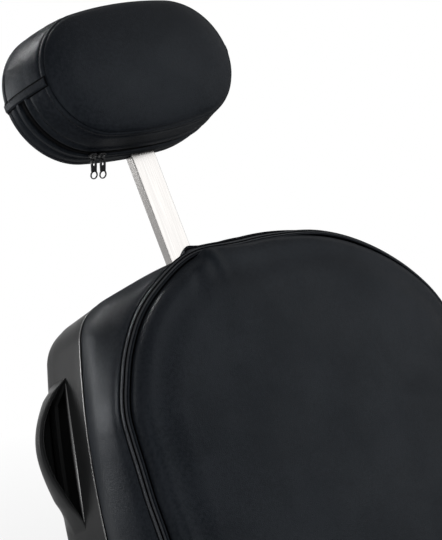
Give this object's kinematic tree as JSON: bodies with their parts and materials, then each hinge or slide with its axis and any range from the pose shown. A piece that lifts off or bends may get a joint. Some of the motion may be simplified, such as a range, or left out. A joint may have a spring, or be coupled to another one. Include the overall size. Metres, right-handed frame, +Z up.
{
  "type": "hydraulic salon chair",
  "caption": "Hydraulic salon chair with a padded seat, a reclining boxed back in a shell with side grips, a sliding headrest on a flat bar, arm pads, footrest and pump pedal.",
  "frame": {"origin": "middle of the base's flat underside, on the column's axis", "axes": "+Z up along the column, -Y the way the sitter faces, +X to the sitter's left"},
  "size_m": [0.678, 1.2371, 1.221],
  "materials": {
    "leather": "smooth black upholstery leather",
    "shell_plastic": "satin dark grey moulded plastic",
    "bar_steel": "brushed flat bar",
    "chrome": "polished",
    "black_steel": "black powder coat",
    "zinc_steel": "zinc plated",
    "rubber": "matt black",
    "arm_foam": "grained soft black polyurethane",
    "plywood": "raw plywood, hidden",
    "zip_metal": "black lacquered zinc",
    "zip_tape": "black coil zip",
    "knob_plastic": "black moulded"
  },
  "bodies": {
    "base": {"base_plate": "black_steel", "base_ring": "rubber", "base_cover": "chrome", "pump_body": "black_steel", "column_sleeve": "chrome", "wiper_ring": "rubber", "pedal_bracket": "black_steel", "pedal_pin": "zinc_steel"},
    "pedal": {"pedal_lever": "chrome", "pedal_pad": "rubber"},
    "ram": {"lift_ram": "chrome"},
    "seat": {"swivel_hub": "black_steel", "seat_plate": "black_steel", "seat_rail_left": "black_steel", "seat_rail_right": "black_steel", "seat_crossbar": "black_steel", "seat_shell": "shell_plastic", "seat_board": "plywood", "seat_cushion": "leather", "arm_post_left": "black_steel", "arm_post_right": "black_steel", "arm_pad_left": "arm_foam", "arm_pad_right": "arm_foam", "footrest_strut": "black_steel", "foot_bar": "chrome", "foot_sleeve_left": "rubber", "foot_sleeve_right": "rubber", "seat_hinge_left": "zinc_steel", "seat_hinge_right": "zinc_steel", "hinge_pin_left": "zinc_steel", "hinge_pin_right": "zinc_steel", "spring_anchor": "zinc_steel", "spring_pin": "zinc_steel"},
    "release": {"release_lever": "chrome", "release_knob": "knob_plastic"},
    "spring_cylinder": {"gas_cylinder": "black_steel"},
    "spring_rod": {"gas_rod": "chrome"},
    "backrest": {"back_arm_left": "zinc_steel", "back_arm_right": "zinc_steel", "torque_tube": "zinc_steel", "back_shell": "shell_plastic", "shell_screw_lower_left": "zinc_steel", "shell_screw_lower_right": "zinc_steel", "shell_screw_upper_left": "zinc_steel", "shell_screw_upper_right": "zinc_steel", "back_board": "plywood", "back_cushion": "leather", "back_grip_left": "shell_plastic", "back_grip_right": "shell_plastic", "headrest_socket": "zinc_steel", "back_crossbar": "zinc_steel"},
    "clamp": {"clamp_knob": "knob_plastic"},
    "headrest": {"headrest_bar": "bar_steel", "headrest_board": "plywood", "headrest_pad": "leather", "headrest_zip": "zip_tape"},
    "slider_right": {"zip_slider_right": "zip_metal"},
    "slider_left": {"zip_slider_left": "zip_metal"},
    "pull_right": {"zip_pull_right": "zip_metal"},
    "pull_left": {"zip_pull_left": "zip_metal"}
  },
  "joints": [
    {"name": "lift", "type": "slide", "parent": "base", "child": "ram", "axis": [0, 0, 1], "range_m": [0, 0.15]},
    {"name": "swivel", "type": "hinge", "parent": "ram", "child": "seat", "pos_m": [0, 0, 0.34], "axis": [0, 0, 1], "continuous": true},
    {"name": "pump_pedal", "type": "hinge", "parent": "base", "child": "pedal", "pos_m": [0, 0.086, 0.118], "axis": [-1, 0, 0], "range_deg": [0, 16], "stiffness_Nm_per_rad": 6, "springref_deg": -34.38},
    {"name": "back_recline", "type": "hinge", "parent": "seat", "child": "backrest", "pos_m": [0, 0.262, 0.455], "axis": [-1, 0, 0], "range_deg": [-21, 18]},
    {"name": "spring_swing", "type": "hinge", "parent": "seat", "child": "spring_cylinder", "pos_m": [0, -0.02, 0.3779], "axis": [1, 0, 0], "range_deg": [-0.15, 0.15]},
    {"name": "spring_stroke", "type": "slide", "parent": "spring_cylinder", "child": "spring_rod", "axis": [0, 1, 0], "range_m": [-0.026, 0.03]},
    {"name": "recline_release", "type": "hinge", "parent": "seat", "child": "release", "pos_m": [0, 0.08, 0.3735], "axis": [-1, 0, 0], "range_deg": [0, 15], "stiffness_Nm_per_rad": 0.6, "springref_deg": -17.19},
    {"name": "headrest_height", "type": "slide", "parent": "backrest", "child": "headrest", "axis": [0, 0.5446, 0.8387], "range_m": [-0.05, 0.07]},
    {"name": "clamp_turn", "type": "hinge", "parent": "backrest", "child": "clamp", "pos_m": [0, 0.53432, 0.87433], "axis": [0, 0.8387, -0.5446], "continuous": true},
    {"name": "zip_right", "type": "hinge", "parent": "headrest", "child": "slider_right", "pos_m": [-0.06257, 0.67213, 1.13796], "axis": [0, -0.8387, 0.5446], "range_deg": [-73, 0]},
    {"name": "zip_left", "type": "hinge", "parent": "headrest", "child": "slider_left", "pos_m": [0, 0.93758, 1.54672], "axis": [0, -0.8387, 0.5446], "range_deg": [0, 13]},
    {"name": "pull_swing_right", "type": "hinge", "parent": "slider_right", "child": "pull_right", "pos_m": [-0.07516, 0.62834, 1.07052], "axis": [1, 0, 0], "range_deg": [-70, 30]},
    {"name": "pull_swing_left", "type": "hinge", "parent": "slider_left", "child": "pull_left", "pos_m": [-0.06385, 0.62757, 1.06934], "axis": [1, 0, 0], "range_deg": [-70, 30]}
  ],
  "couplings": [
    {"joint": "spring_swing", "follows": "back_recline", "ratio": -0.0056},
    {"joint": "spring_stroke", "follows": "back_recline", "m_per_rad": -0.0785}
  ]
}
